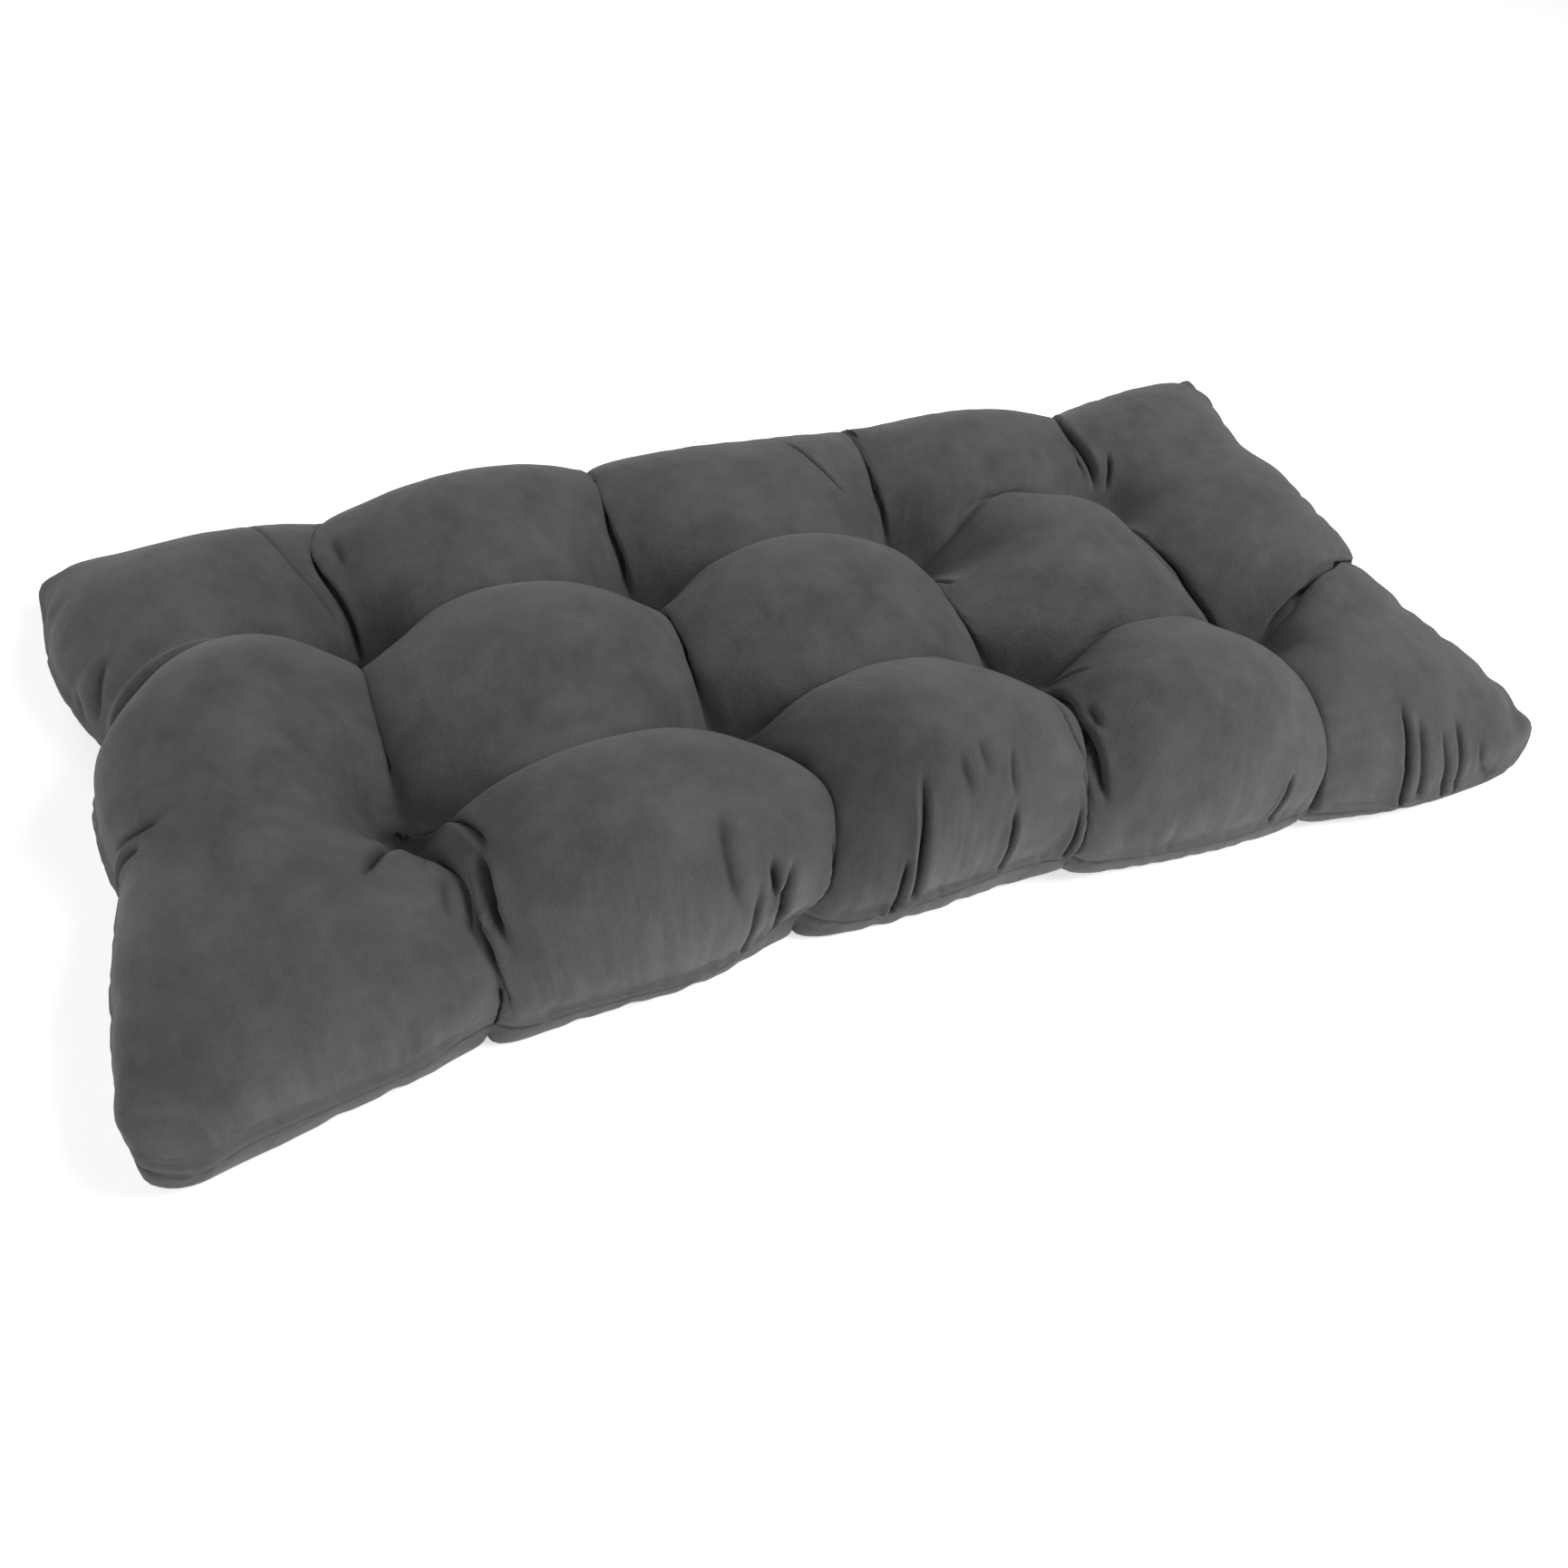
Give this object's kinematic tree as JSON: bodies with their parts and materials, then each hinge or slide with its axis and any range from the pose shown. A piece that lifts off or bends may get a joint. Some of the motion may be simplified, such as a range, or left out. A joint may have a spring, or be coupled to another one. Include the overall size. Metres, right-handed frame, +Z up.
{
  "type": "bench cushion",
  "caption": "Long tufted cushion for a bench or swing seat: two cloth panels sewn edge to edge, filled, and drawn together at tufts into rows of rounded bulges.",
  "frame": {"origin": "middle of the cushion's outline in plan, at the height of the surface that it lies on", "axes": "+X along the cushion's length, +Y from the front long edge to the back one, +Z up out of the tufted upper face"},
  "size_m": [1.11, 0.53, 0.1518],
  "materials": {
    "brushed_microfibre": "charcoal grey brushed microfibre, matt with a short nap"
  },
  "bodies": {
    "root": {"cushion": "brushed_microfibre"}
  },
  "joints": []
}
